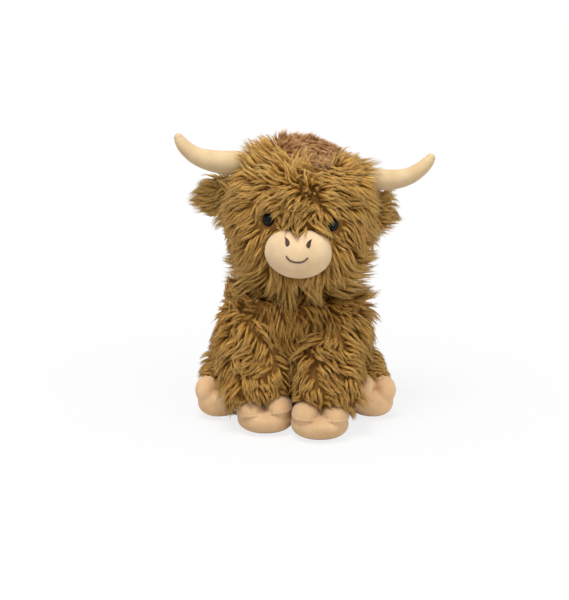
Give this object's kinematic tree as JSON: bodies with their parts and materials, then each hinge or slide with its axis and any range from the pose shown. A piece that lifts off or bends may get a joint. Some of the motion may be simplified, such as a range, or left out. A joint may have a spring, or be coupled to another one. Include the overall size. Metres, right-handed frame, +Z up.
{
  "type": "plush cow",
  "caption": "Seated long-haired plush cow with cream muzzle, horns and hooves, sewn covers over stuffing, and soft joints at neck, ears, legs and tail.",
  "frame": {"origin": "under the middle of the flat base panel, on the surface that the toy sits on", "axes": "+Z up, -Y the way the toy faces, +X the toy's own left"},
  "size_m": [0.266, 0.2177, 0.2958],
  "materials": {
    "fur": "long shaggy pile, golden brown with darker roots",
    "crown_fur": "shorter, straighter reddish-brown pile",
    "short_pile": "cream short-pile velvet",
    "horn_pile": "pale cream short-pile velvet",
    "filling": "white polyester fibre filling",
    "pellet_bag": "woven bag of plastic pellets",
    "base_fabric": "flat dark-brown woven fabric",
    "eye_plastic": "polished black",
    "washer_plastic": "natural moulded plastic",
    "embroidery": "satin-stitched dark-brown thread",
    "sewing_thread": "cream sewing thread",
    "seam_thread": "brown sewing thread"
  },
  "bodies": {
    "body": {"body_cover": "fur", "body_stuffing": "filling", "bean_bag": "pellet_bag", "base_panel": "base_fabric"},
    "neck": {"neck_stuffing": "filling"},
    "neck_seam": {"neck_thread": "seam_thread"},
    "head": {"head_cover": "fur", "crown_panel": "crown_fur", "head_stuffing": "filling", "muzzle_cover": "short_pile", "muzzle_stuffing": "filling", "mouth_stitching": "embroidery", "nostril_left": "embroidery", "eye_left": "eye_plastic", "eye_washer_left": "washer_plastic", "horn_cover_left": "horn_pile", "horn_stuffing_left": "filling", "nostril_right": "embroidery", "eye_right": "eye_plastic", "eye_washer_right": "washer_plastic", "horn_cover_right": "horn_pile", "horn_stuffing_right": "filling"},
    "ear_left": {"ear_left": "fur"},
    "ear_right": {"ear_right": "fur"},
    "front_leg_left": {"front_leg_cover_left": "fur", "front_leg_stuffing_left": "filling", "front_hoof_cover_left": "short_pile", "front_hoof_stuffing_left": "filling", "front_hoof_stitch_left": "sewing_thread"},
    "front_leg_right": {"front_leg_cover_right": "fur", "front_leg_stuffing_right": "filling", "front_hoof_cover_right": "short_pile", "front_hoof_stuffing_right": "filling", "front_hoof_stitch_right": "sewing_thread"},
    "hind_leg_left": {"hind_leg_cover_left": "fur", "hind_leg_stuffing_left": "filling", "hind_hoof_cover_left": "short_pile", "hind_hoof_stuffing_left": "filling", "hind_hoof_stitch_left": "sewing_thread"},
    "hind_leg_right": {"hind_leg_cover_right": "fur", "hind_leg_stuffing_right": "filling", "hind_hoof_cover_right": "short_pile", "hind_hoof_stuffing_right": "filling", "hind_hoof_stitch_right": "sewing_thread"},
    "tail": {"tail_cover": "fur", "tail_tuft": "fur"}
  },
  "joints": [
    {"name": "neck_turn", "type": "hinge", "parent": "body", "child": "neck", "pos_m": [0, -0.012, 0.13], "axis": [0, 0, 1], "range_deg": [-25, 25], "stiffness_Nm_per_rad": 0.3},
    {"name": "head_tilt", "type": "hinge", "parent": "neck", "child": "neck_seam", "pos_m": [0, -0.012, 0.13], "axis": [0, 1, 0], "range_deg": [-10, 10], "stiffness_Nm_per_rad": 1.2},
    {"name": "head_nod", "type": "hinge", "parent": "neck_seam", "child": "head", "pos_m": [0, -0.012, 0.13], "axis": [1, 0, 0], "range_deg": [-12, 18], "stiffness_Nm_per_rad": 1.2},
    {"name": "ear_left", "type": "hinge", "parent": "head", "child": "ear_left", "pos_m": [0.07097, 0.01149, 0.2256], "axis": [0, -1, 0], "range_deg": [-30, 15], "stiffness_Nm_per_rad": 0.03},
    {"name": "ear_right", "type": "hinge", "parent": "head", "child": "ear_right", "pos_m": [-0.05515, 0.01149, 0.23552], "axis": [0, 1, 0], "range_deg": [-30, 15], "stiffness_Nm_per_rad": 0.03},
    {"name": "front_leg_left", "type": "hinge", "parent": "body", "child": "front_leg_left", "pos_m": [0.0395, -0.0402, 0.1238], "axis": [-1, 0, 0], "range_deg": [0, 50], "stiffness_Nm_per_rad": 0.05},
    {"name": "front_leg_right", "type": "hinge", "parent": "body", "child": "front_leg_right", "pos_m": [-0.0395, -0.0402, 0.1238], "axis": [-1, 0, 0], "range_deg": [0, 50], "stiffness_Nm_per_rad": 0.05},
    {"name": "hind_leg_left", "type": "hinge", "parent": "body", "child": "hind_leg_left", "pos_m": [0.05365, 0.05188, 0.038], "axis": [0, 0, 1], "range_deg": [0, 35], "stiffness_Nm_per_rad": 0.05},
    {"name": "hind_leg_right", "type": "hinge", "parent": "body", "child": "hind_leg_right", "pos_m": [-0.05049, 0.05188, 0.038], "axis": [0, 0, -1], "range_deg": [0, 35], "stiffness_Nm_per_rad": 0.05},
    {"name": "tail_swing", "type": "hinge", "parent": "body", "child": "tail", "pos_m": [0, 0.0685, 0.0728], "axis": [0, 1, 0], "range_deg": [-35, 35], "stiffness_Nm_per_rad": 0.01}
  ]
}
